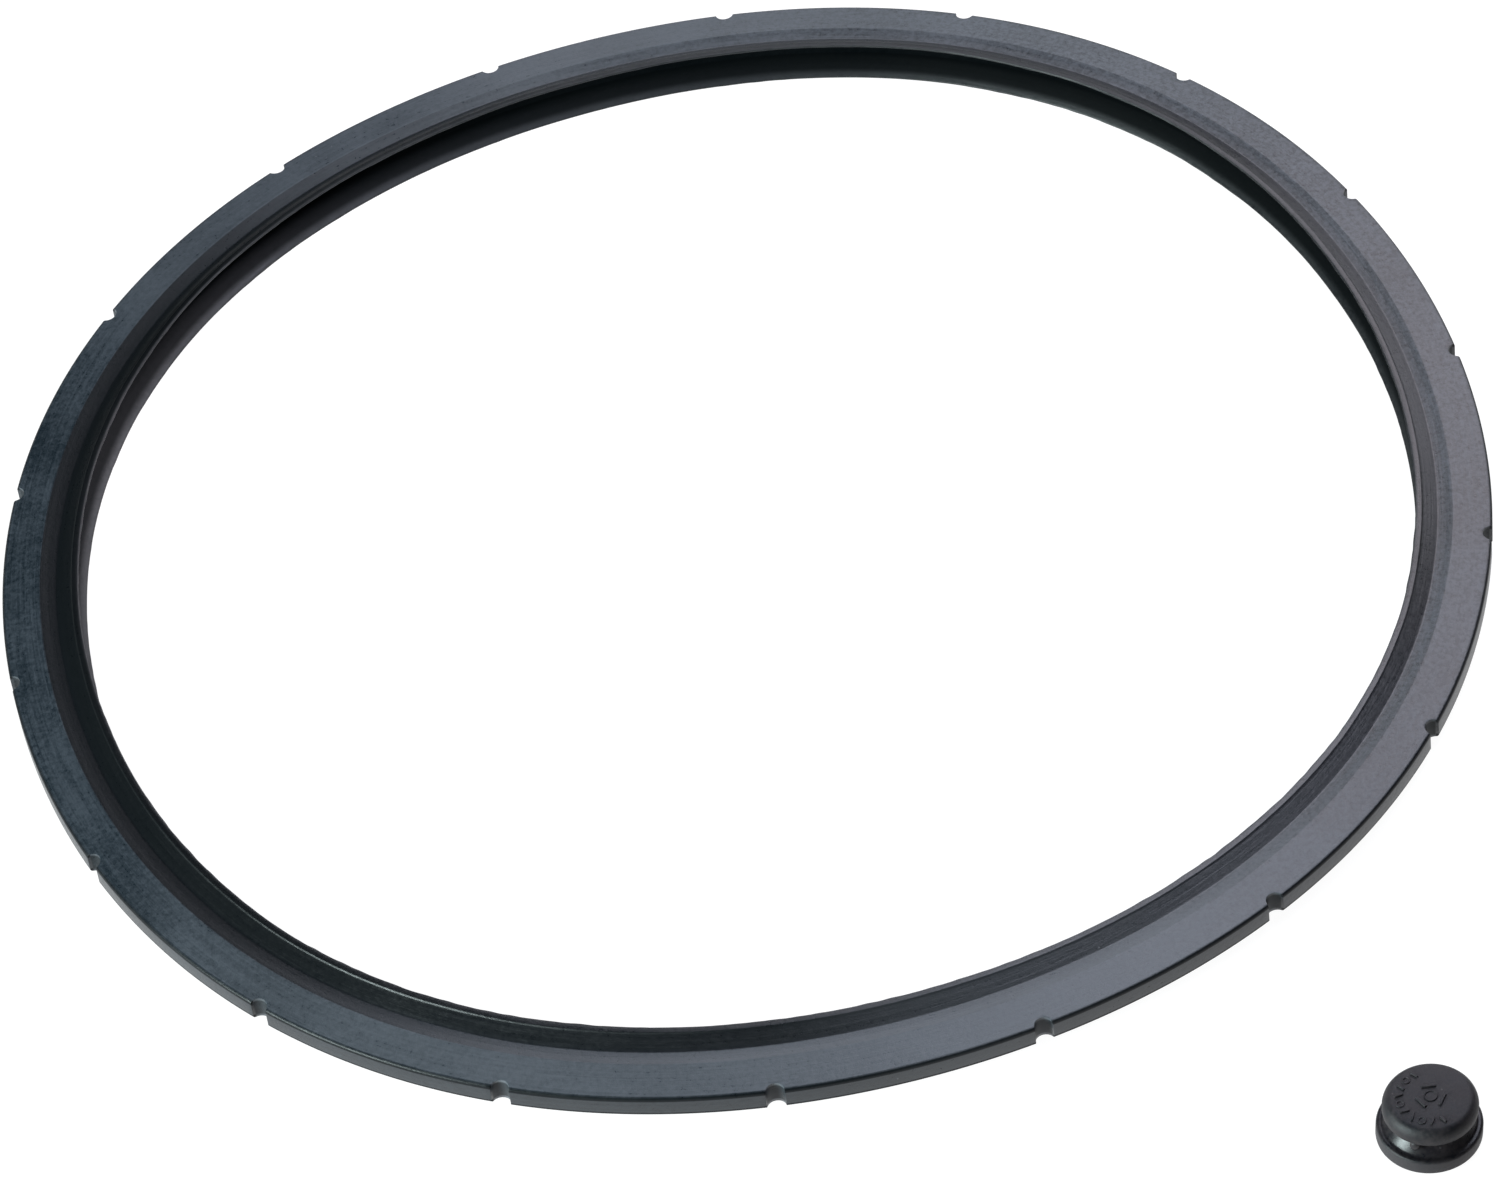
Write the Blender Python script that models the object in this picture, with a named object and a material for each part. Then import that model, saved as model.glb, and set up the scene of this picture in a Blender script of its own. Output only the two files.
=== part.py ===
"""Sealing ring and overpressure plug of a large pressure cooker, as a loose set of two rubber mouldings.

Metres, +Z up, floor at z = 0. The origin is the middle of the set's footprint; the ring's own
centre lies a little behind it, because the plug lies loose in front of the ring.
"""
import math

import bmesh
import bpy
from mathutils import Matrix

MM = 0.001

# ---- sealing ring: a double-lipped section with a notched outer flange ----
RING_OUTER_R = 145.0 * MM
RING_SEGMENTS = 144
FLANGE_THICK = 4.6 * MM
FLANGE_EDGE_ROUND = 0.7 * MM
SHOULDER_R = 137.5 * MM          # ridge where the flange ends
SHOULDER_HALF = 3.05 * MM
HINGE_R = 134.5 * MM             # shallow valley the lip bends about
HINGE_HALF = 2.5 * MM
LIP_HALF = 4.2 * MM              # outside face of either lip, measured from the middle plane
LIP_LAND_OUT_R = 131.15 * MM
LIP_LAND_IN_R = 130.0 * MM
LIP_TIP_R = 129.9 * MM
LIP_TIP_HALF = 3.8 * MM
CHANNEL_MID_R = 134.0 * MM
CHANNEL_MID_HALF = 1.15 * MM
CHANNEL_ROOT_R = 136.0 * MM
CHANNEL_ROOT_HALF = 0.55 * MM

# ---- half-round notches around the flange ----
NOTCH_COUNT = 18
NOTCH_R = 1.8 * MM
NOTCH_FIRST_DEG = 6.7
NOTCH_SIDES = 24

# ---- overpressure plug ----
PLUG_X = 105.5 * MM              # from the ring's centre
PLUG_Y = -168.0 * MM
PLUG_SEGMENTS = 72
PLUG_BASE_R = 9.5 * MM
PLUG_BASE_TOP = 3.2 * MM
PLUG_NECK_R = 6.4 * MM
PLUG_FLARE_R = 8.2 * MM          # where the waist's flare meets the base flange
PLUG_CAP_R = 8.6 * MM
PLUG_CAP_UNDER = 6.3 * MM
PLUG_TOP = 10.1 * MM

SET_SHIFT_Y = (PLUG_BASE_R - PLUG_Y - RING_OUTER_R) / 2


def make_material(name, colour, roughness):
    """Principled rubber."""
    material = bpy.data.materials.new(name)
    material.use_nodes = True
    shader = material.node_tree.nodes["Principled BSDF"]
    shader.inputs["Base Color"].default_value = (*colour, 1.0)
    shader.inputs["Roughness"].default_value = roughness
    shader.inputs["Metallic"].default_value = 0.0
    return material


def add_object(name, bm, material=None):
    """Turn a bmesh into a named object."""
    mesh = bpy.data.meshes.new(name)
    bm.to_mesh(mesh)
    bm.free()
    obj = bpy.data.objects.new(name, mesh)
    bpy.context.collection.objects.link(obj)
    if material:
        mesh.materials.append(material)
    return obj


def smooth_round(obj, angle_deg):
    """Smooth shading with real corners kept sharp."""
    obj.data.shade_smooth()
    obj.data.set_sharp_from_angle(angle=math.radians(angle_deg))


def turned(profile, segments, closed):
    """Spin a (radius, height) outline around Z into one closed body."""
    bm = bmesh.new()
    verts = [bm.verts.new((r, 0.0, z)) for r, z in profile]
    edges = [bm.edges.new(pair) for pair in zip(verts, verts[1:])]
    if closed:
        edges.append(bm.edges.new((verts[-1], verts[0])))
    bmesh.ops.spin(bm, geom=verts + edges, axis=(0, 0, 1), cent=(0, 0, 0), steps=segments,
                   angle=math.tau, use_merge=True)
    bmesh.ops.remove_doubles(bm, verts=bm.verts, dist=1e-6)
    bmesh.ops.recalc_face_normals(bm, faces=bm.faces)
    return bm


def ring_section():
    """Closed outline of the ring's section, the lower half a mirror of the upper one."""
    half = FLANGE_THICK / 2
    rnd = FLANGE_EDGE_ROUND
    upper = [
        (RING_OUTER_R, half - rnd),
        (RING_OUTER_R - 0.3 * rnd, half - 0.3 * rnd),
        (RING_OUTER_R - rnd, half),
        (SHOULDER_R, SHOULDER_HALF),
        (HINGE_R, HINGE_HALF),
        (LIP_LAND_OUT_R, LIP_HALF),
        (LIP_LAND_IN_R, LIP_HALF),
        (LIP_TIP_R, LIP_TIP_HALF),
        (CHANNEL_MID_R, CHANNEL_MID_HALF),
        (CHANNEL_ROOT_R, CHANNEL_ROOT_HALF),
    ]
    lower = [(r, -z) for r, z in reversed(upper)]
    return upper + lower


def build_notch_cutter():
    """Round pins standing on the flange's rim, one per notch."""
    bm = bmesh.new()
    for i in range(NOTCH_COUNT):
        angle = math.radians(NOTCH_FIRST_DEG) + math.tau * i / NOTCH_COUNT
        place = Matrix.Rotation(angle, 4, "Z") @ Matrix.Translation((RING_OUTER_R, 0.0, 0.0))
        bmesh.ops.create_cone(bm, cap_ends=True, segments=NOTCH_SIDES, radius1=NOTCH_R,
                              radius2=NOTCH_R, depth=3 * FLANGE_THICK, matrix=place)
    cutter = add_object("notch_cutter", bm)
    cutter.hide_render = True
    cutter.display_type = "WIRE"
    return cutter


def build_sealing_ring(material):
    """The ring, lying on the land of its lower lip."""
    ring = add_object("sealing_ring", turned(ring_section(), RING_SEGMENTS, True), material)
    cutter = build_notch_cutter()
    place = (0.0, SET_SHIFT_Y, LIP_HALF)
    ring.location = place
    cutter.location = place
    cut = ring.modifiers.new("notches", "BOOLEAN")
    cut.operation = "DIFFERENCE"
    cut.solver = "EXACT"
    cut.object = cutter
    smooth_round(ring, 30)
    return ring


def plug_section():
    """Open outline of the plug from the middle of its flat base to the middle of its crown."""
    base = PLUG_BASE_R
    neck = PLUG_NECK_R
    cap = PLUG_CAP_R
    return [
        (0.0, 0.0),
        (base - 0.5 * MM, 0.0),
        (base, 0.5 * MM),
        (base, PLUG_BASE_TOP - 0.5 * MM),
        (base - 0.5 * MM, PLUG_BASE_TOP),
        (PLUG_FLARE_R, PLUG_BASE_TOP),
        (neck + 0.3 * MM, PLUG_CAP_UNDER - 1.1 * MM),
        (neck, PLUG_CAP_UNDER - 0.75 * MM),
        (neck + 0.3 * MM, PLUG_CAP_UNDER - 0.4 * MM),
        (neck + 1.0 * MM, PLUG_CAP_UNDER),
        (cap - 0.5 * MM, PLUG_CAP_UNDER + 0.2 * MM),
        (cap, PLUG_CAP_UNDER + 0.8 * MM),
        (cap, PLUG_TOP - 1.9 * MM),
        (cap - 0.4 * MM, PLUG_TOP - 1.1 * MM),
        (cap - 1.2 * MM, PLUG_TOP - 0.5 * MM),
        (0.5 * cap, PLUG_TOP - 0.1 * MM),
        (0.0, PLUG_TOP),
    ]


def build_overpressure_plug(material):
    """The plug, standing on its base flange in front of the ring."""
    plug = add_object("overpressure_plug", turned(plug_section(), PLUG_SEGMENTS, False), material)
    plug.location = (PLUG_X, PLUG_Y + SET_SHIFT_Y, 0.0)
    smooth_round(plug, 40)
    return plug


def main():
    for obj in list(bpy.data.objects):
        bpy.data.objects.remove(obj, do_unlink=True)
    ring_rubber = make_material("ring_rubber", (0.035, 0.038, 0.045), 0.45)
    plug_rubber = make_material("plug_rubber", (0.030, 0.026, 0.027), 0.55)
    build_sealing_ring(ring_rubber)
    build_overpressure_plug(plug_rubber)


main()
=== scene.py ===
# %% [markdown]
# # A sealing ring and its overpressure plug
# Two loose rubber spare parts of a large pressure cooker: the ring that seals the cover, and the
# small plug that blows out of the cover if the pressure gets too high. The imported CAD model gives
# their places and sizes. This lesson makes the fine surface over it: rounded corners, mould
# flash, the soft lie of real rubber, and the finish of each moulding.

# %% Load the frame
import math
from types import SimpleNamespace

import bmesh
import bpy
from mathutils import Matrix, Quaternion, Vector, noise


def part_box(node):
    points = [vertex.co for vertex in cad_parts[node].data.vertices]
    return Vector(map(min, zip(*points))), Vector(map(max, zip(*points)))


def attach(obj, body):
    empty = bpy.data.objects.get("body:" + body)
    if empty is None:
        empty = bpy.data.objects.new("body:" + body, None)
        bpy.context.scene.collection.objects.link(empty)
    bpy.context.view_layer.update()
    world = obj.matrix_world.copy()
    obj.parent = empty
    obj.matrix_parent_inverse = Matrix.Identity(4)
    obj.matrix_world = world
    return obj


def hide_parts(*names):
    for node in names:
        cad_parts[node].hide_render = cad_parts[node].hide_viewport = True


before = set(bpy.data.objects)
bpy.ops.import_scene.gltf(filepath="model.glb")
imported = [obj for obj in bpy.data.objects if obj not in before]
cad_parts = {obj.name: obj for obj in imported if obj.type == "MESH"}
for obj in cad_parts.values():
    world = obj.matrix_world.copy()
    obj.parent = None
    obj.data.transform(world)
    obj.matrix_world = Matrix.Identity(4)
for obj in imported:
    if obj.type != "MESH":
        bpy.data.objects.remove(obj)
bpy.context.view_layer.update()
MM = 0.001
ring_low, ring_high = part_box("sealing_ring")
plug_low, plug_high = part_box("overpressure_plug")
RING_CENTRE = (ring_low + ring_high) / 2
PLUG_CENTRE = Vector(((plug_low.x + plug_high.x) / 2, (plug_low.y + plug_high.y) / 2, 0.0))
RING_R = (ring_high.x - ring_low.x) / 2
RING_HALF = (ring_high.z - ring_low.z) / 2
PLUG_R = (plug_high.x - plug_low.x) / 2
PLUG_TOP = plug_high.z
print("ring radius", round(RING_R / MM, 2), "mm, height", round(2 * RING_HALF / MM, 2), "mm")
print("plug radius", round(PLUG_R / MM, 2), "mm, height", round(PLUG_TOP / MM, 2), "mm")

# %% [markdown]
# ## The camera
# A parts catalogue is shot from far away with a long lens, so that a round part stays an honest
# ellipse. The camera looks down at a little over 45 degrees and leans a little to one side. It
# is aimed with a track quaternion, and the lean is a turn about the line of sight.

# %% Camera
CAMERA_PLACE = Vector((0.0, -870.8, 923.0)) * MM
CAMERA_AIM = Vector((-0.55, -4.1, 6.1)) * MM
CAMERA_LEAN_DEG = -7.87
CAMERA_LENS_MM = 158.1

camera_data = bpy.data.cameras.new("catalogue_camera")
camera_data.lens = CAMERA_LENS_MM
camera_data.sensor_width = 36.0
camera = bpy.data.objects.new("catalogue_camera", camera_data)
bpy.context.collection.objects.link(camera)
sight = CAMERA_AIM - CAMERA_PLACE
camera.location = CAMERA_PLACE
camera.rotation_mode = "QUATERNION"
lean = Quaternion((0.0, 0.0, 1.0), math.radians(CAMERA_LEAN_DEG))
camera.rotation_quaternion = sight.to_track_quat("-Z", "Y") @ lean
bpy.context.scene.camera = camera
print("camera is", round(sight.length, 3), "m from the middle of the set")

# %% [markdown]
# ## Shader maths as plain expressions
# Procedural rubber needs a lot of small sums: where is this point on the ring's section, how
# close is it to the lip. Wrapping a socket in a small class lets Python's own operators add the
# Math nodes, so a mask reads like the formula it is.

# %% Sockets that can be added and multiplied
class Value:
    """One output socket of a finish."""

    def __init__(self, finish, socket):
        self.finish = finish
        self.socket = socket

    def math(self, operation, *others):
        return self.finish.node("ShaderNodeMath", {"operation": operation},
                                dict(enumerate((self, *others))))

    def __add__(self, other):
        return self.math("ADD", other)

    def __radd__(self, other):
        return self.math("ADD", other)

    def __sub__(self, other):
        return self.math("SUBTRACT", other)

    def __rsub__(self, other):
        return self.finish.node("ShaderNodeMath", {"operation": "SUBTRACT"}, {0: other, 1: self})

    def __mul__(self, other):
        return self.math("MULTIPLY", other)

    def __rmul__(self, other):
        return self.math("MULTIPLY", other)


class Finish:
    """A material with a Principled shader. node adds any node, and the rest are shorthands."""

    def __init__(self, name):
        self.material = bpy.data.materials.new(name)
        self.material.use_nodes = True
        self.tree = self.material.node_tree
        self.shader = self.tree.nodes["Principled BSDF"]

    def node(self, kind, settings=None, inputs=None, out=0):
        made = self.tree.nodes.new(kind)
        for name, setting in (settings or {}).items():
            setattr(made, name, setting)
        for name, value in (inputs or {}).items():
            self.feed(made.inputs[name], value)
        return Value(self, made.outputs[out])

    def feed(self, socket, value):
        if isinstance(value, Value):
            self.tree.links.new(value.socket, socket)
        else:
            socket.default_value = value

    def band(self, value, start, full):
        """0 before start, 1 after full, with a soft step between."""
        return self.node("ShaderNodeMapRange", {"interpolation_type": "SMOOTHSTEP"},
                         {"Value": value, "From Min": start, "From Max": full})

    def fade(self, value, start, gone):
        """1 before start, 0 after gone: the opposite of a band."""
        return 1.0 - self.band(value, start, gone)

    def cloud(self, coords, scale, detail, roughness=0.5):
        """Soft noise in space, finer where the scale is larger."""
        return self.node("ShaderNodeTexNoise", inputs={
            "Vector": coords, "Scale": scale, "Detail": detail, "Roughness": roughness})

    def specks(self, coords, scale, inner, outer):
        """Small round specks: 1 up to the inner distance from the middle of each."""
        away = self.node("ShaderNodeTexVoronoi", {"feature": "F1"}, {
            "Vector": coords, "Scale": scale, "Randomness": 1.0}, out="Distance")
        return self.fade(away, inner, outer)

    def toward(self, direction, azimuth_deg):
        """1 where the direction points to an azimuth, 0 at right angles to it."""
        azimuth = math.radians(azimuth_deg)
        return self.node("ShaderNodeVectorMath", {"operation": "DOT_PRODUCT"},
                         {0: direction, 1: (math.cos(azimuth), math.sin(azimuth), 0.0)}, out="Value")

    def mix_colour(self, factor, dark, light):
        return self.node("ShaderNodeMix", {"data_type": "RGBA"},
                         {"Factor": factor, "A": dark, "B": light}, out="Result")


print("finishes can be written as expressions")

# %% [markdown]
# ## The section of the ring
# A moulding like this is a turned shape: one section swept round an axis. The section here is a
# face of a few corners, one half drawn and then mirrored, because the ring can be laid in its
# groove either way up. Beveling the corners of that flat face rounds each of them by its own
# amount, just as the radii of the mould would, and the filled face is only there to be beveled.

# %% Draw and round the section
FLANGE_HALF = 2.3 * MM
FLANGE_EDGE = (RING_R, FLANGE_HALF)
SHOULDER = (137.5 * MM, 3.05 * MM)      # ridge between flange and lip
HOLLOW = (136.0 * MM, 2.72 * MM)        # the face between ridge and valley is a little hollow
HINGE = (134.4 * MM, 2.5 * MM)          # valley the lip folds about
LAND_STEP = (131.4 * MM, 3.92 * MM)     # the land stands on a tiny step
LAND_OUT = (131.15 * MM, RING_HALF)     # flat land along the tip of the lip
LAND_IN = (130.0 * MM, RING_HALF)
TIP = (129.9 * MM, 3.8 * MM)
CHANNEL_MID = (134.0 * MM, 1.15 * MM)
CHANNEL_ROOT = (136.1 * MM, 0.6 * MM)


def between(start, end, share):
    """A plain corner part of the way along a flat face. It keeps the shading of a bend local."""
    return tuple(a + (b - a) * share for a, b in zip(start, end)), 0.0, 0


UPPER_CORNERS = (
    (FLANGE_EDGE, 0.6 * MM, 6),
    between(FLANGE_EDGE, SHOULDER, 0.14),
    between(FLANGE_EDGE, SHOULDER, 0.32),
    between(FLANGE_EDGE, SHOULDER, 0.93),
    (SHOULDER, 0.16 * MM, 3),
    (HOLLOW, 0.5 * MM, 3),
    between(HOLLOW, HINGE, 0.78),
    (HINGE, 0.12 * MM, 3),
    between(HINGE, LAND_STEP, 0.12),
    between(HINGE, LAND_STEP, 0.88),
    (LAND_STEP, 0.08 * MM, 2),
    (LAND_OUT, 0.08 * MM, 2),
    (LAND_IN, 0.12 * MM, 3),
    (TIP, 0.1 * MM, 2),
    (CHANNEL_MID, 0.5 * MM, 3),
    (CHANNEL_ROOT, 0.35 * MM, 4),
)


def draw_section(corners, mirror):
    """A flat face in the XZ plane with each corner rounded by its own amount."""
    bm = bmesh.new()
    upper = [bm.verts.new((r, 0.0, z)) for (r, z), _, _ in corners]
    lower = []
    if mirror:
        lower = [bm.verts.new((r, 0.0, -z)) for (r, z), _, _ in reversed(corners)]
    bm.faces.new(upper + lower)
    rounds = [(width, steps) for _, width, steps in corners]
    plan = list(zip(upper, rounds)) + list(zip(lower, reversed(rounds)))
    for vert, (width, steps) in plan:
        if width:
            bmesh.ops.bevel(bm, geom=[vert], offset=width, offset_type="OFFSET", segments=steps,
                            profile=0.5, affect="VERTICES", material=-1)
    return bm


ring_mesh = draw_section(UPPER_CORNERS, True)
print("the section has", len(ring_mesh.verts), "corners after rounding")

# %% [markdown]
# ## Sweeping the section
# The filled face goes, its outline stays, and a full spin about the ring's axis closes on itself
# with use_merge. The number of steps is a multiple of the eighteen notches, so that every notch
# meets the same pattern of faces.

# %% Sweep the ring
NOTCHES = 18
RING_STEPS = 40 * NOTCHES
MERGE_DISTANCE = 0.002 * MM


def sweep(bm, steps):
    """Turn the outline of a section into a closed body round Z."""
    bmesh.ops.delete(bm, geom=bm.faces[:], context="FACES_ONLY")
    bmesh.ops.spin(bm, geom=bm.verts[:] + bm.edges[:], axis=(0, 0, 1), cent=(0, 0, 0),
                   angle=math.tau, steps=steps, use_merge=True)
    bmesh.ops.remove_doubles(bm, verts=bm.verts, dist=MERGE_DISTANCE)
    bmesh.ops.recalc_face_normals(bm, faces=bm.faces)


def as_object(bm, name):
    """A named object at the origin that holds the mesh."""
    mesh = bpy.data.meshes.new(name)
    bm.to_mesh(mesh)
    bm.free()
    made = bpy.data.objects.new(name, mesh)
    bpy.context.collection.objects.link(made)
    return made


sweep(ring_mesh, RING_STEPS)
ring_blank = as_object(ring_mesh, "ring_blank")
print("the blank has", len(ring_blank.data.polygons), "faces")

# %% [markdown]
# ## Notches round the flange
# On the real ring each notch is left by a round pin of the mould that stands half in the rim. So
# eighteen pins are subtracted from the blank, and the sharp edges this leaves are given a tiny
# bevel, because rubber never fills a mould's corner to a knife edge.

# %% Cut the notches
NOTCH_R = 1.8 * MM
NOTCH_FIRST_DEG = 6.7
PIN_SIDES = 48
NOTCH_ROUND = 0.12 * MM

pins = bmesh.new()
for i in range(NOTCHES):
    turn = Matrix.Rotation(math.radians(NOTCH_FIRST_DEG) + math.tau * i / NOTCHES, 4, "Z")
    bmesh.ops.create_cone(pins, cap_ends=True, segments=PIN_SIDES, radius1=NOTCH_R,
                          radius2=NOTCH_R, depth=6 * FLANGE_HALF,
                          matrix=turn @ Matrix.Translation((RING_R, 0, 0)))
pin_block = as_object(pins, "mould_pins")
cut = ring_blank.modifiers.new("notches", "BOOLEAN")
cut.operation = "DIFFERENCE"
cut.solver = "EXACT"
cut.object = pin_block
cut_mesh = ring_blank.evaluated_get(bpy.context.evaluated_depsgraph_get()).to_mesh()
ring_mesh = bmesh.new()
ring_mesh.from_mesh(cut_mesh)
for used in (ring_blank, pin_block):
    bpy.data.objects.remove(used, do_unlink=True)


def on_notch(vert):
    """True for a point on the wall of a notch."""
    angle = math.atan2(vert.co.y, vert.co.x) - math.radians(NOTCH_FIRST_DEG)
    pitch = math.tau / NOTCHES
    offset = angle - pitch * round(angle / pitch)
    radius = math.hypot(vert.co.x, vert.co.y)
    across = math.hypot(radius * math.cos(offset) - RING_R, radius * math.sin(offset))
    return abs(across - NOTCH_R) < 0.02 * MM


walls = {vert for vert in ring_mesh.verts if on_notch(vert)}
rims = [edge for edge in ring_mesh.edges if edge.verts[0] in walls and edge.verts[1] in walls
        and edge.calc_face_angle(0.0) > math.radians(35)]
bmesh.ops.bevel(ring_mesh, geom=rims, offset=NOTCH_ROUND, offset_type="OFFSET", segments=2,
                profile=0.5, affect="EDGES", material=-1, clamp_overlap=True)
open_edges = [edge for edge in ring_mesh.edges if not edge.is_manifold]
print("notch rims beveled:", len(rims), "open edges:", len(open_edges))

# %% [markdown]
# ## The lie of a soft ring
# A ring that was folded into a bag never lies perfectly round, and its thin lips ripple a little.
# Every point is pushed along its radius by three slow waves: the ring is a little oval, it keeps
# four soft corners from the fold, and a faint third wave is left over. The thin lips also lean
# over to one side. The rubber creeps along the ring too, because where it is squeezed on one side
# it is stretched on the other, and so the notches are not quite evenly spaced. The upper lip is
# free, so it stands off a little at the back and ripples. The lower lip carries the ring and
# stays level. Each point first notes where it was in the mould, because the finish belongs to
# the moulded section.

# %% Let the ring relax
OVAL = 1.1 * MM
OVAL_AT = math.radians(40)
CORNERS = 1.2 * MM              # the four soft corners of the fold
CORNERS_AT = math.radians(-34)
LEFTOVER = 0.3 * MM
LEFTOVER_AT = math.radians(65)
LIP_LEAN = 0.5 * MM             # the thin lips lean to the right
CREEP = math.radians(0.5)       # along the ring, to and fro once and twice round it
CREEP_AT = math.radians(-117)
UPPER_LIP_OPEN = 0.8 * MM       # the upper lip stands off most at the back
UPPER_LIP_AT = math.radians(105)
LIP_RAGGED = 0.10 * MM          # small uneven places along the tips of the lips
LIP_RIPPLE = 0.22 * MM          # up and down, in long ripples and in short ones
LIP_SHIVER = 0.05 * MM


def crests(count, first, angle):
    """A wave with so many crests round the ring, one of them at the angle called first."""
    return math.cos(count * (angle - first))


def around(angle, fineness, seed):
    """Smooth noise along the ring that closes on itself."""
    return noise.noise(Vector((math.cos(angle) * fineness, math.sin(angle) * fineness, seed)))


def relaxed(radius, angle, z, lip):
    """Where a point of the round ring comes to lie. lip is 0 on the flange and 1 at a lip's tip."""
    radius += OVAL * crests(2, OVAL_AT, angle) + CORNERS * crests(4, CORNERS_AT, angle)
    radius += LEFTOVER * crests(3, LEFTOVER_AT, angle) + LIP_LEAN * lip * crests(1, 0.0, angle)
    radius += LIP_RAGGED * lip * around(angle, 9.0, 3.0)
    if z > 0.0:
        opening = (0.5 + 0.5 * math.cos(angle - UPPER_LIP_AT)) ** 2
        radius += UPPER_LIP_OPEN * lip * opening
        z += lip * (LIP_RIPPLE * around(angle, 5.0, 7.0) + LIP_SHIVER * around(angle, 40.0, 9.0))
    angle += CREEP * (crests(1, CREEP_AT, angle) + 0.9 * crests(2, 0.0, angle))
    return Vector((radius * math.cos(angle), radius * math.sin(angle), z))


def remember_mould(bm):
    """Keep each point's place in the mould, so that the finish can follow the section."""
    moulded_radius = bm.verts.layers.float.new("moulded_radius")
    moulded_height = bm.verts.layers.float.new("moulded_height")
    for vert in bm.verts:
        vert[moulded_radius] = math.hypot(vert.co.x, vert.co.y)
        vert[moulded_height] = vert.co.z


def relax(bm):
    remember_mould(bm)
    for vert in bm.verts:
        radius, angle = math.hypot(vert.co.x, vert.co.y), math.atan2(vert.co.y, vert.co.x)
        lip = min(max((SHOULDER[0] - radius) / (SHOULDER[0] - LAND_IN[0]), 0.0), 1.0)
        vert.co = relaxed(radius, angle, vert.co.z, lip)


relax(ring_mesh)
bmesh.ops.translate(ring_mesh, vec=RING_CENTRE, verts=ring_mesh.verts)
sealing_ring = as_object(ring_mesh, "ring_moulding")
sealing_ring.data.shade_smooth()
sealing_ring.data.set_sharp_from_angle(angle=math.radians(40))
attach(sealing_ring, "ring")
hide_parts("sealing_ring")
print("the ring has", len(sealing_ring.data.polygons), "faces")

# %% [markdown]
# ## Flash on the lips
# Where the halves of the mould meet, a film of rubber squeezes out and is torn off by hand, which
# leaves a ragged whisker along the inner edge of each lip. A thin strip is swept round like the
# ring itself, and its free edge is then torn by noise.

# %% Ragged flash
FLASH_STEPS = 120 * NOTCHES
FLASH_HALF = 0.04 * MM          # half the thickness of the film
FLASH_ROOT = TIP[0] + 0.25 * MM
FLASH_EDGE = TIP[0] - 0.02 * MM
FLASH_HEIGHT = 3.95 * MM


def flash_strip(height, reach, name, seed):
    """A torn film along the tip of a lip, at a height above the middle plane."""
    bm = bmesh.new()
    corners = [(FLASH_ROOT, FLASH_HALF), (FLASH_EDGE, FLASH_HALF),
               (FLASH_EDGE, -FLASH_HALF), (FLASH_ROOT, -FLASH_HALF)]
    bm.faces.new([bm.verts.new((r, 0.0, height + z)) for r, z in corners])
    sweep(bm, FLASH_STEPS)
    remember_mould(bm)
    for vert in bm.verts:
        x, y, z = vert.co
        radius, angle = math.hypot(x, y), math.atan2(y, x)
        torn = max(0.0, 0.1 + around(angle, 45.0, seed) + 1.3 * around(angle, 7.0, seed + 5))
        if radius < TIP[0]:
            radius -= reach * torn
            z += 2 * FLASH_HALF * around(angle, 45.0, seed + 9)
        vert.co = relaxed(radius, angle, z, 1.0)
    bmesh.ops.translate(bm, vec=RING_CENTRE, verts=bm.verts)
    strip = as_object(bm, name)
    strip.data.shade_smooth()
    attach(strip, "ring")
    return strip


upper_flash = flash_strip(FLASH_HEIGHT, 0.13 * MM, "upper_lip_flash", 11.0)
lower_flash = flash_strip(-FLASH_HEIGHT, 0.07 * MM, "lower_lip_flash", 31.0)
print("flash faces:", len(upper_flash.data.polygons) + len(lower_flash.data.polygons))

# %% [markdown]
# ## The overpressure plug
# The plug is turned as well: a base flange that stays under the cover, a waist that fills the
# cover's hole, and a cap that is squeezed through the hole to hold the plug in place. Its section
# is drawn from the middle of the base to the middle of the crown. Those two end points lie on the
# axis, so the sweep closes there by merging.

# %% Turn the plug
BASE_TOP = 3.2 * MM
NECK_R = 6.4 * MM
CAP_R = 8.6 * MM
CAP_UNDER = 6.5 * MM
PLUG_CORNERS = (
    ((0.0, 0.0), 0.0, 0),
    ((PLUG_R, 0.0), 0.5 * MM, 4),
    ((PLUG_R, BASE_TOP), 0.6 * MM, 5),
    ((NECK_R + 2.0 * MM, BASE_TOP + 0.1 * MM), 0.3 * MM, 3),
    ((NECK_R + 0.3 * MM, CAP_UNDER - 1.1 * MM), 0.5 * MM, 4),
    ((NECK_R + 0.5 * MM, CAP_UNDER - 0.3 * MM), 0.3 * MM, 3),
    ((CAP_R - 0.1 * MM, CAP_UNDER - 0.1 * MM), 0.6 * MM, 5),
    ((CAP_R, PLUG_TOP - 1.6 * MM), 0.8 * MM, 6),
    ((CAP_R - 1.1 * MM, PLUG_TOP - 0.25 * MM), 0.6 * MM, 5),
    ((0.5 * CAP_R, PLUG_TOP - 0.05 * MM), 1.0 * MM, 4),
    ((0.0, PLUG_TOP), 0.0, 0),
)
PLUG_STEPS = 192

plug_mesh = draw_section(PLUG_CORNERS, False)
axis_edge = [edge for edge in plug_mesh.edges if all(abs(v.co.x) < 1e-7 for v in edge.verts)]
bmesh.ops.delete(plug_mesh, geom=axis_edge, context="EDGES")
sweep(plug_mesh, PLUG_STEPS)
print("the plug has", len(plug_mesh.faces), "faces")

# %% [markdown]
# ## Raised marks on the cap
# The real cap carries its maker's words in low relief. They are left out. Plain bars and small
# rings keep the look of a moulded mark and say nothing. Each is a rounded block or a fine torus
# sunk into the crown, and all of them make one piece that rides with the plug.

# %% Raised bars and rings
MARK_RISE = 0.36 * MM
MARK_ROUND = 0.09 * MM
BEAD_R = 0.17 * MM              # half the thickness of a small ring's bead
MARK_CIRCLE_R = 5.6 * MM
MARK_PITCH_DEG = 19.0
CROWN_FLAT_R = CAP_R - 1.1 * MM


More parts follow.
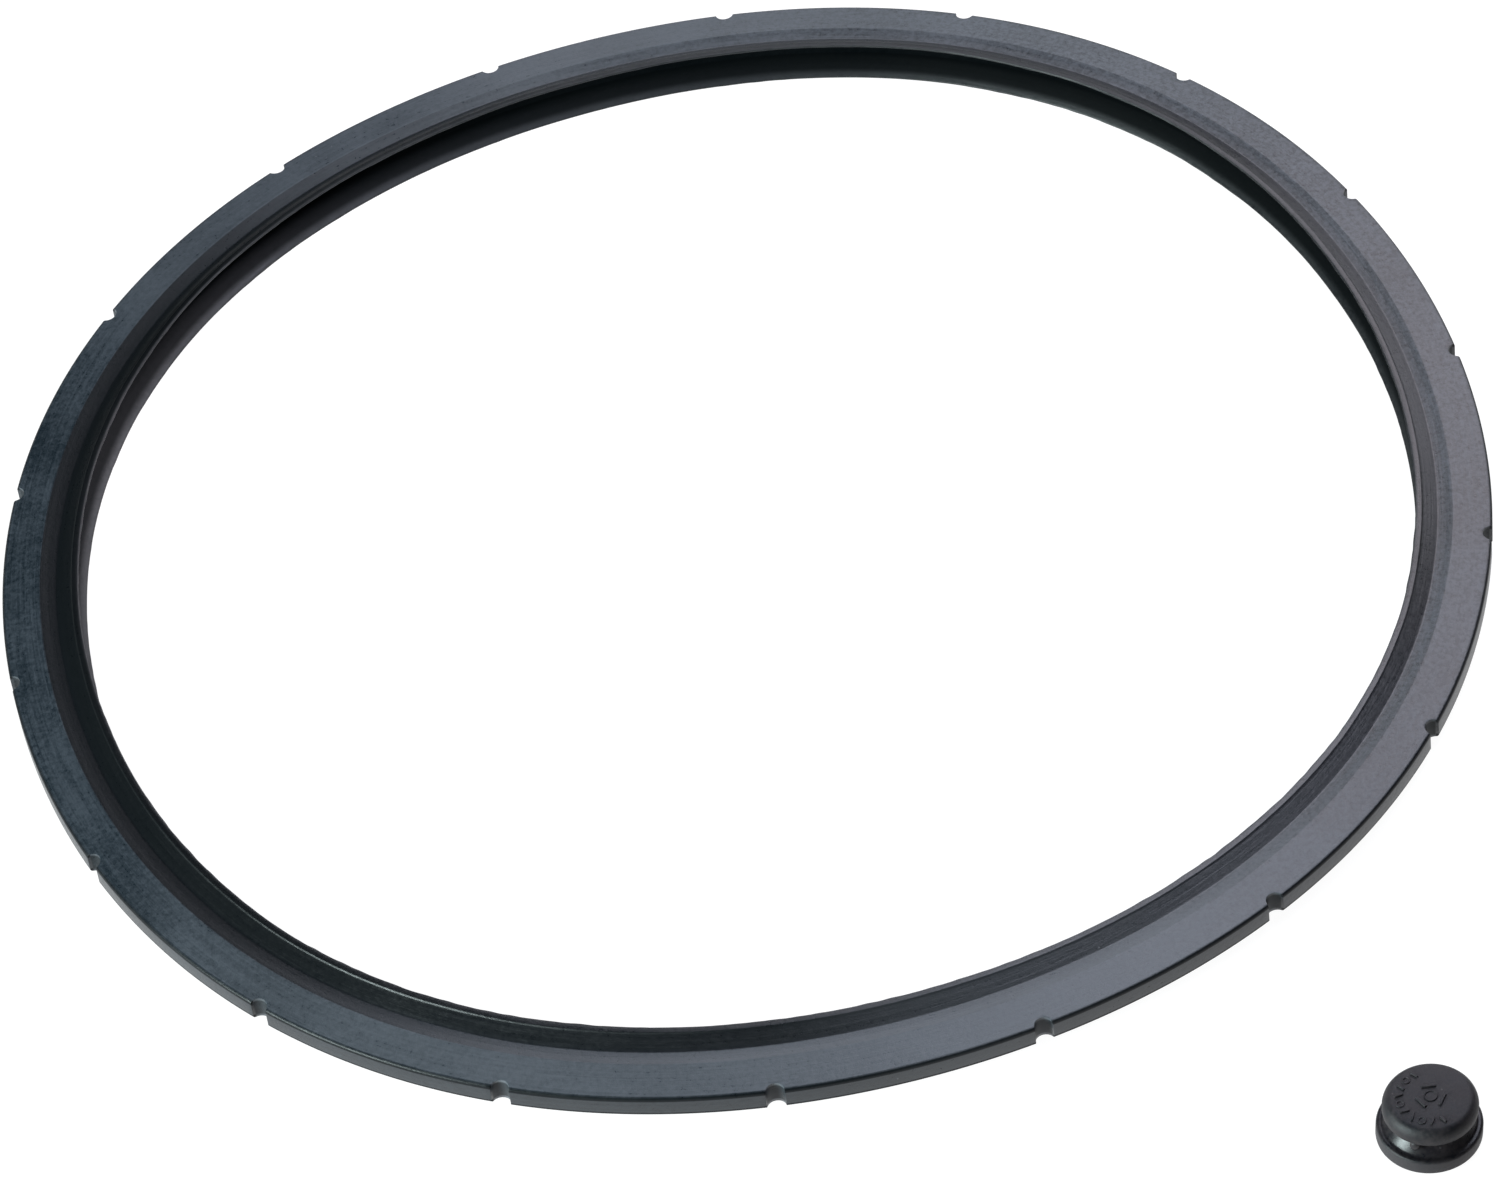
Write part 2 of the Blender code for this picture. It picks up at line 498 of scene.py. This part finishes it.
def crown_height(radius):
    """Height of the crown at a distance from the axis."""
    return PLUG_TOP - 0.25 * MM * (radius / CROWN_FLAT_R) ** 2


marks = bmesh.new()


def mark_place(radius, angle_deg, turn_deg):
    angle = math.radians(angle_deg)
    spot = (radius * math.cos(angle), radius * math.sin(angle), crown_height(radius))
    return Matrix.Translation(spot) @ Matrix.Rotation(angle + math.radians(turn_deg), 4, "Z")


def add_bar(radius, angle_deg, long, wide, turn_deg):
    """One rounded bar on the crown, turned from the line through the axis."""
    size = Matrix.Diagonal((long, wide, 2 * MARK_RISE, 1.0))
    made = bmesh.ops.create_cube(marks, size=1.0,
                                 matrix=mark_place(radius, angle_deg, turn_deg) @ size)
    edges = {edge for vert in made["verts"] for edge in vert.link_edges}
    bmesh.ops.bevel(marks, geom=list(edges), offset=MARK_ROUND, offset_type="OFFSET", segments=3,
                    profile=0.5, affect="EDGES", material=-1)


def add_ring(radius, angle_deg, across):
    """One fine raised ring on the crown."""
    bead = bmesh.ops.create_circle(marks, cap_ends=False, segments=10, radius=BEAD_R)["verts"]
    bmesh.ops.transform(marks, verts=bead, matrix=Matrix.Translation((across / 2, 0, 0))
                        @ Matrix.Rotation(math.radians(90), 4, "X"))
    loop = list({edge for vert in bead for edge in vert.link_edges})
    bmesh.ops.spin(marks, geom=bead + loop, axis=(0, 0, 1), cent=(0, 0, 0), angle=math.tau,
                   steps=28, use_merge=True)
    # the new ring is still at the origin, and all the other marks are up on the crown
    ring_verts = [vert for vert in marks.verts if vert.co.length < across]
    bmesh.ops.transform(marks, verts=ring_verts, matrix=mark_place(radius, angle_deg, 0))


for i in range(10):
    if i % 3 == 1:
        add_ring(MARK_CIRCLE_R, 112 + MARK_PITCH_DEG * i, 1.3 * MM)
    else:
        add_bar(MARK_CIRCLE_R, 112 + MARK_PITCH_DEG * i, 1.6 * MM, 0.40 * MM, 24 - 23 * (i % 3))
for turn in (0, 120, 240):
    add_bar(2.2 * MM, 90 + turn, 2.7 * MM, 0.55 * MM, 90)
add_ring(0.0, 0, 2.2 * MM)
bmesh.ops.recalc_face_normals(marks, faces=marks.faces)
print("the marks have", len(marks.faces), "faces")

# %% [markdown]
# ## The stub of the gate
# Rubber enters the mould through a gate under the rim of the cap, and the operator tears the
# sprue off. A small dark flap is left there. It is a ball, flattened and pulled down, and sunk
# into the rim.

# %% Gate stub
stub = bmesh.new()
STUB_AT = math.radians(241)
stub_place = (Matrix.Rotation(STUB_AT, 4, "Z")
              @ Matrix.Translation((CAP_R - 0.5 * MM, 0.0, CAP_UNDER - 0.7 * MM))
              @ Matrix.Diagonal((0.6, 0.9, 1.1, 1.0)))
bmesh.ops.create_uvsphere(stub, u_segments=24, v_segments=16, radius=1.0 * MM, matrix=stub_place)
print("gate stub ready")

# %% [markdown]
# ## Putting the plug together
# The soft plug does not stand quite straight: its cap leans a little to the right. A shear that
# grows with the height leans every piece alike and leaves the flat base on the surface.

# %% Place the plug
LEAN_RIGHT = 0.048              # sideways for each unit of height
plug_place = Matrix.Translation(PLUG_CENTRE) @ Matrix(
    ((1, 0, LEAN_RIGHT, 0), (0, 1, 0, 0), (0, 0, 1, 0), (0, 0, 0, 1)))
plug_pieces = []
for bm, name in ((plug_mesh, "plug_moulding"), (marks, "plug_marks"), (stub, "plug_gate_stub")):
    bmesh.ops.transform(bm, matrix=plug_place, verts=bm.verts)
    piece = as_object(bm, name)
    piece.data.shade_smooth()
    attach(piece, "plug")
    plug_pieces.append(piece)
plug_pieces[0].data.set_sharp_from_angle(angle=math.radians(50))
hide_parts("overpressure_plug")
print("plug stands at", [round(c / MM, 1) for c in PLUG_CENTRE])

# %% [markdown]
# ## Where a point is on the ring
# The finish belongs to the moulded section. So the masks follow the two values that each point
# kept from the mould, its radius and its height, and the direction in which it lies from the
# ring's axis. The section is the same above and below its middle plane, so the sign of the height
# is dropped, and what is left is called the level.

# %% Masks on the ring
def ring_places(finish, coords):
    """The place of a point in the mould, and masks that are 1 on one part of the ring."""
    local = finish.node("ShaderNodeMapping", inputs={"Vector": coords, "Location": -RING_CENTRE})
    flat = finish.node("ShaderNodeVectorMath", {"operation": "MULTIPLY"},
                       {0: local, 1: (1.0, 1.0, 0.0)})
    direction = finish.node("ShaderNodeVectorMath", {"operation": "NORMALIZE"}, {0: flat})
    radius = finish.node("ShaderNodeAttribute", {"attribute_name": "moulded_radius"}, out="Fac")
    height = finish.node("ShaderNodeAttribute", {"attribute_name": "moulded_height"}, out="Fac")
    level = height.math("ABSOLUTE")
    flange = finish.band(radius, SHOULDER[0] - 0.2 * MM, SHOULDER[0] + 0.1 * MM)
    rim = finish.band(radius, RING_R - 0.75 * MM, RING_R - 0.4 * MM)
    lip = finish.fade(radius, HINGE[0] - 1.0 * MM, HINGE[0] + 0.5 * MM)
    behind_ridge = finish.band(radius, HINGE[0] - 0.1 * MM, HINGE[0] + 0.2 * MM) * (1.0 - flange)
    along_lip = level + 0.55 * (radius - HINGE[0])
    in_channel = (1.0 - flange) * finish.fade(along_lip, 1.7 * MM, 2.1 * MM)
    return SimpleNamespace(direction=direction, radius=radius, level=level, flange=flange, rim=rim,
                           lip=lip, behind_ridge=behind_ridge, in_channel=in_channel)


print("masks go from", round(TIP[0] / MM, 1), "to", round(RING_R / MM, 1), "mm radius")

# %% [markdown]
# ## Painted shade and pits
# In some places the rubber is painted with next to no sheen, as painted shade: inside the notches,
# deep in the channel, along the upper edge of the rim, on the left of the lips, and on their tips at
# the back. Small pits in the grain on the right side are darkened the same way. One mask gathers
# them all. Each kind has its own strength, and where two of them meet the stronger one counts.

# %% Mask of painted shade and pits
def painted_shade_and_pits(finish, on, grain):
    """How much painted shade, and how much of the dark pits in the grain, shows at a point."""
    # painted shade inside the notches, deep in the channel, on the left of the lips, on their tips
    # at the back and along the upper edge of the rim
    in_notch = on.flange * (1.0 - on.rim) * finish.fade(
        on.level, FLANGE_HALF - 0.6 * MM, FLANGE_HALF - 0.2 * MM)
    deep = on.in_channel * finish.band(on.radius, LAND_IN[0] + 0.2 * MM, LAND_STEP[0] + 0.2 * MM)
    left_lip = (1.0 - on.flange) * finish.band(finish.toward(on.direction, 185), 0.45, 0.85)
    back_land = (finish.fade(on.radius, LAND_STEP[0], LAND_STEP[0] + 1.0 * MM)
                 * finish.band(finish.toward(on.direction, 95), 0.3, 0.8))
    rim_edge = on.rim * (finish.band(on.level, 1.4 * MM, 1.65 * MM)
                         * finish.fade(on.level, FLANGE_HALF - 0.08 * MM, FLANGE_HALF - 0.01 * MM))
    # dark pits in the grain, on the right side
    pits = finish.fade(grain, 0.35, 0.6) * finish.band(finish.toward(on.direction, 10), 0.0, 0.8)
    shade_in_hollows = 0.62 * in_notch + 0.9 * deep
    shade_on_open_faces = (0.62 * left_lip + 0.5 * back_land) * (1.0 - on.in_channel) + 0.75 * rim_edge
    return shade_in_hollows.math("MAXIMUM", shade_on_open_faces).math("MAXIMUM", 0.24 * pits)


print("raw skin gathers six kinds of places")

# %% [markdown]
# ## The ring's rubber
# Moulded black rubber is a very dark colour under a satin skin. What makes it real is in the skin:
# fine streaks that run round the ring, where the mould was turned on a lathe, a bluish bloom that
# has dulled the flange but was wiped off the lips in use, and a little dust. Two patches of the
# flange, at the front and at the back, are painted lighter as painted sheen, with the bloom's
# texture in them, and at the near right the lips are painted lighter as painted light. On the left,
# the face behind the ridge is left without bloom, as painted shade. The streaks follow the distance
# from the axis, and change only slowly along the ring, so their noise is fed with a stretched radius
# and the direction. A second, very dark shader is mixed in to paint shade in hollows and on some
# faces, and to darken pits in the grain.

# %% Satin ring rubber
def ring_rubber():
    finish = Finish("ring_rubber_satin")
    shader = finish.shader
    coords = finish.node("ShaderNodeTexCoord", out="Object")
    on = ring_places(finish, coords)
    section = on.radius + 0.7 * on.level
    lathe = finish.node("ShaderNodeTexNoise", {"noise_dimensions": "4D"}, {
        "Vector": on.direction, "W": section * 420.0, "Scale": 5.0, "Detail": 4.0,
        "Roughness": 0.65})
    grain = finish.cloud(coords, 1000.0, 4.0, 0.75)
    bloom = finish.cloud(coords, 38.0, 5.0, 0.6)
    dust = (finish.specks(coords, 420.0, 0.05, 0.10)
            * finish.band(finish.cloud(coords, 60.0, 2.0), 0.60, 0.72))
    worn = 0.32 * bloom + 0.30 * lathe + 0.38 * grain
    # painted sheen: two lighter patches on the flange, at the front and at the back, textured by the
    # bloom
    front = finish.band(finish.toward(on.direction, 264), 0.5, 0.97)
    back = finish.band(finish.toward(on.direction, 122), 0.86, 0.97)
    bloom_and_sheen_patch = (1.15 * front + 0.7 * back) * (0.35 + 1.3 * worn) * (1.0 - on.rim)
    dull = finish.mix_colour(finish.band(worn, 0.39, 0.61), (0.008, 0.014, 0.019, 1),
                             (0.043, 0.053, 0.064, 1))
    dull = finish.mix_colour(0.5 * bloom_and_sheen_patch, dull, (0.105, 0.115, 0.130, 1))
    clean = finish.mix_colour(on.lip, (0.008, 0.010, 0.013, 1), (0.006, 0.0075, 0.009, 1))
    # painted light: the lips at the near right are lighter
    painted_light_on_lips = 0.9 * finish.band(finish.toward(on.direction, 305), 0.75, 1.0)
    clean = finish.mix_colour(painted_light_on_lips, clean, (0.045, 0.047, 0.053, 1))
    # painted shade: on the left the face behind the ridge keeps the dark lip skin
    not_left = finish.band(finish.toward(on.direction, 0), -0.9, 0.0)
    bloom_and_left_shade = (on.flange + 0.9 * on.behind_ridge * not_left) * (1.0 - 0.7 * on.rim)
    skin = finish.mix_colour(bloom_and_left_shade, clean, dull)
    finish.feed(shader.inputs["Base Color"],
                finish.mix_colour(dust * 0.5, skin, (0.16, 0.16, 0.17, 1)))
    finish.feed(shader.inputs["Roughness"],
                0.30 + 0.10 * bloom + (0.22 + 0.14 * on.lip) * (lathe - 0.5)
                + 0.42 * (grain - 0.5) + dust * 0.2 + 0.12 * on.in_channel)
    relief = (0.6 + 0.7 * on.lip) * lathe + 0.9 * grain + 0.5 * dust
    finish.feed(shader.inputs["Normal"], finish.node("ShaderNodeBump", inputs={
        "Height": relief, "Strength": 0.7, "Distance": 0.08 * MM}))
    shader.inputs["IOR"].default_value = 1.52
    # a very dark shader, mixed in to paint shade in the hollows and on some faces, and to darken
    # pits in the grain
    shade_and_pit_bsdf = finish.node("ShaderNodeBsdfPrincipled", inputs={
        "Base Color": (0.0015, 0.0025, 0.003, 1), "Roughness": 0.55, "IOR": 1.15}, out="BSDF")
    blend = finish.node("ShaderNodeMixShader", inputs={
        0: painted_shade_and_pits(finish, on, grain), 1: Value(finish, shader.outputs["BSDF"]), 2: shade_and_pit_bsdf},
        out="Shader")
    finish.feed(finish.tree.nodes["Material Output"].inputs["Surface"], blend)
    return finish.material


RING_RUBBER = ring_rubber()
for piece in (sealing_ring, upper_flash, lower_flash):
    piece.data.materials.clear()
    piece.data.materials.append(RING_RUBBER)
print("ring rubber:", len(RING_RUBBER.node_tree.nodes), "nodes")

# %% [markdown]
# ## The plug's rubber
# The plug is a softer, browner compound with an eroded, matte skin, a little lighter on the
# foot. Only its waist, which the mould polishes, shines.

# %% Matte plug rubber
def plug_rubber():
    finish = Finish("plug_rubber_matte")
    shader = finish.shader
    coords = finish.node("ShaderNodeTexCoord", out="Object")
    height = finish.node("ShaderNodeSeparateXYZ", inputs={0: coords}, out="Z")
    waist = (finish.band(height, BASE_TOP - 0.3 * MM, BASE_TOP + 0.1 * MM)
             * finish.fade(height, CAP_UNDER - 0.3 * MM, CAP_UNDER + 0.3 * MM))
    grain = finish.cloud(coords, 1500.0, 4.0, 0.7)
    patches = finish.cloud(coords, 260.0, 4.0, 0.6)
    dust = finish.specks(coords, 520.0, 0.06, 0.13) * finish.band(patches, 0.56, 0.70)
    worn = 0.5 * patches + 0.5 * grain
    skin = finish.mix_colour(finish.band(worn, 0.36, 0.64), (0.004, 0.0045, 0.007, 1),
                             (0.024, 0.020, 0.022, 1))
    foot = finish.fade(height, BASE_TOP - 0.6 * MM, BASE_TOP - 0.2 * MM)
    skin = finish.mix_colour(0.5 * foot, skin, (0.040, 0.037, 0.041, 1))
    finish.feed(shader.inputs["Base Color"],
                finish.mix_colour(dust * 0.6, skin, (0.22, 0.21, 0.21, 1)))
    finish.feed(shader.inputs["Roughness"], 0.58 - 0.27 * waist + 0.24 * (patches - 0.5)
                + 0.20 * (grain - 0.5))
    finish.feed(shader.inputs["Normal"], finish.node("ShaderNodeBump", inputs={
        "Height": (1.0 - 0.8 * waist) * grain + 0.6 * patches, "Strength": 0.5,
        "Distance": 0.10 * MM}))
    shader.inputs["IOR"].default_value = 1.40
    return finish.material


PLUG_RUBBER = plug_rubber()
for piece in plug_pieces:
    piece.data.materials.clear()
    piece.data.materials.append(PLUG_RUBBER)
print("plug rubber:", len(PLUG_RUBBER.node_tree.nodes), "nodes")

# %% [markdown]
# ## The table
# A catalogue table is white and lit so that its own shading almost disappears. The table glows a
# lot by itself, which keeps it white without flooding the black rubber with light.

# %% White table
TABLE_R = 4.0                   # in metres, far wider than the set
table_mesh = bmesh.new()
bmesh.ops.create_circle(table_mesh, cap_ends=True, segments=96, radius=TABLE_R,
                        matrix=Matrix.Translation((0.0, 0.0, -0.02 * MM)))
table = as_object(table_mesh, "white_table")
paper = Finish("white_paper")
paper.shader.inputs["Base Color"].default_value = (0.12, 0.12, 0.12, 1)
paper.shader.inputs["Roughness"].default_value = 0.9
paper.shader.inputs["Emission Color"].default_value = (1.0, 1.0, 1.0, 1)
paper.shader.inputs["Emission Strength"].default_value = 0.96
table.data.materials.append(paper.material)
print("table ready")

# %% [markdown]
# ## A white backdrop
# From a low place the table's far edge would show, and the dark studio above it. A dome of the
# same white closes the view there. It is only there to be looked at: it sheds no light on the
# rubber and is not mirrored in it.

# %% Backdrop
dome_mesh = bmesh.new()
bmesh.ops.create_uvsphere(dome_mesh, u_segments=96, v_segments=48, radius=TABLE_R)
below = [vert for vert in dome_mesh.verts if vert.co.z < -0.2 * TABLE_R]
bmesh.ops.delete(dome_mesh, geom=below, context="VERTS")
bmesh.ops.reverse_faces(dome_mesh, faces=dome_mesh.faces)
dome = as_object(dome_mesh, "white_backdrop")
dome.data.materials.append(paper.material)
dome.visible_diffuse = dome.visible_glossy = dome.visible_shadow = False
print("backdrop ready")

# %% [markdown]
# ## The light
# Black rubber is drawn by what it reflects. Most of the panels stand close to the right side, so
# the sheen fades towards the left, where the rubber shows its own dark tone, and one low window
# at the front left lights the rim. The world adds only a trace, to keep shaded places from going
# fully black.

# %% Studio light
world = bpy.data.worlds.new("studio")
world.use_nodes = True
world.node_tree.nodes["Background"].inputs["Color"].default_value = (0.8, 0.85, 0.9, 1)
world.node_tree.nodes["Background"].inputs["Strength"].default_value = 0.05
bpy.context.scene.world = world
bpy.context.scene.view_settings.view_transform = "Standard"
# each panel: where it stands round the set and above it, how far off, how wide, watts, tint
LIGHTS = (
    ("warm_right_panel", 50.0, 45.0, 0.42, 0.25, 0.45, (1.0, 0.85, 0.9)),
    ("low_right_panel", 40.0, 25.0, 0.42, 0.25, 0.45, (0.9, 0.9, 1.0)),
    ("high_right_panel", 20.0, 65.0, 0.42, 0.30, 1.05, (0.8, 0.85, 1.0)),
    ("back_panel", 80.0, 30.0, 0.42, 0.25, 0.45, (0.85, 0.9, 1.0)),
    ("front_left_window", 210.0, 15.0, 0.9, 0.42, 16.0, (0.85, 1.0, 1.0)),
)


def add_panel(name, azimuth_deg, height_deg, distance, size, power, colour):
    """A square area light on a sphere round the set, facing its middle."""
    data = bpy.data.lights.new(name, "AREA")
    data.energy = power
    data.size = size
    data.color = colour
    lamp = bpy.data.objects.new(name, data)
    bpy.context.collection.objects.link(lamp)
    azimuth, height = math.radians(azimuth_deg), math.radians(height_deg)
    out = Vector((math.cos(azimuth) * math.cos(height), math.sin(azimuth) * math.cos(height),
                  math.sin(height)))
    lamp.location = RING_CENTRE + out * distance
    lamp.rotation_mode = "QUATERNION"
    lamp.rotation_quaternion = (-out).to_track_quat("-Z", "Y")


for panel in LIGHTS:
    add_panel(*panel)
print("lights:", len(LIGHTS))
